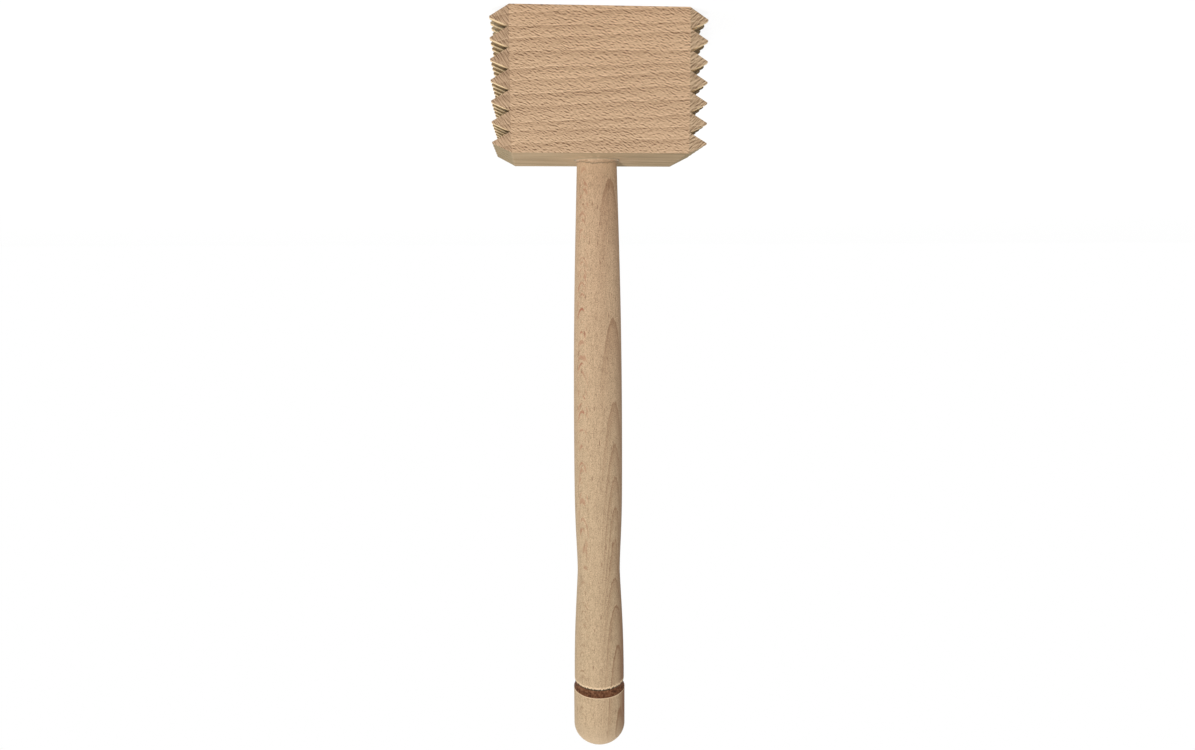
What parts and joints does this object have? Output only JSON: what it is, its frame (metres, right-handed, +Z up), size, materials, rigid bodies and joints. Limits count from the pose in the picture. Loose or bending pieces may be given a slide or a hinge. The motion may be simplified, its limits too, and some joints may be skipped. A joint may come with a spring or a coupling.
{
  "type": "wooden meat mallet",
  "caption": "Wooden meat mallet: a beech block head with pyramid teeth on its striking ends, wedged and glued onto a long turned handle with a brown groove and a domed butt.",
  "frame": {"origin": "middle of the crown, the flat face of the head opposite the handle, on which the mallet stands", "axes": "+Z up along the handle from crown to butt, X along the striking direction from tooth field to tooth field, Y from cheek to cheek"},
  "size_m": [0.0874, 0.048, 0.3286],
  "materials": {
    "head_beech": "sanded, unvarnished beech, grain along the striking direction",
    "handle_beech": "turned and sanded, unvarnished beech, grain along the handle",
    "wedge_wood": "sawn hardwood, sanded off near the crown",
    "dried_glue": "dried wood glue, satin",
    "brown_stain": "brown stain on turned wood, satin"
  },
  "bodies": {
    "root": {"head_block": "head_beech", "handle": "handle_beech", "tenon_wedge": "wedge_wood", "glue_sleeve": "dried_glue", "glue_bead": "dried_glue", "groove_band": "brown_stain"}
  },
  "joints": []
}
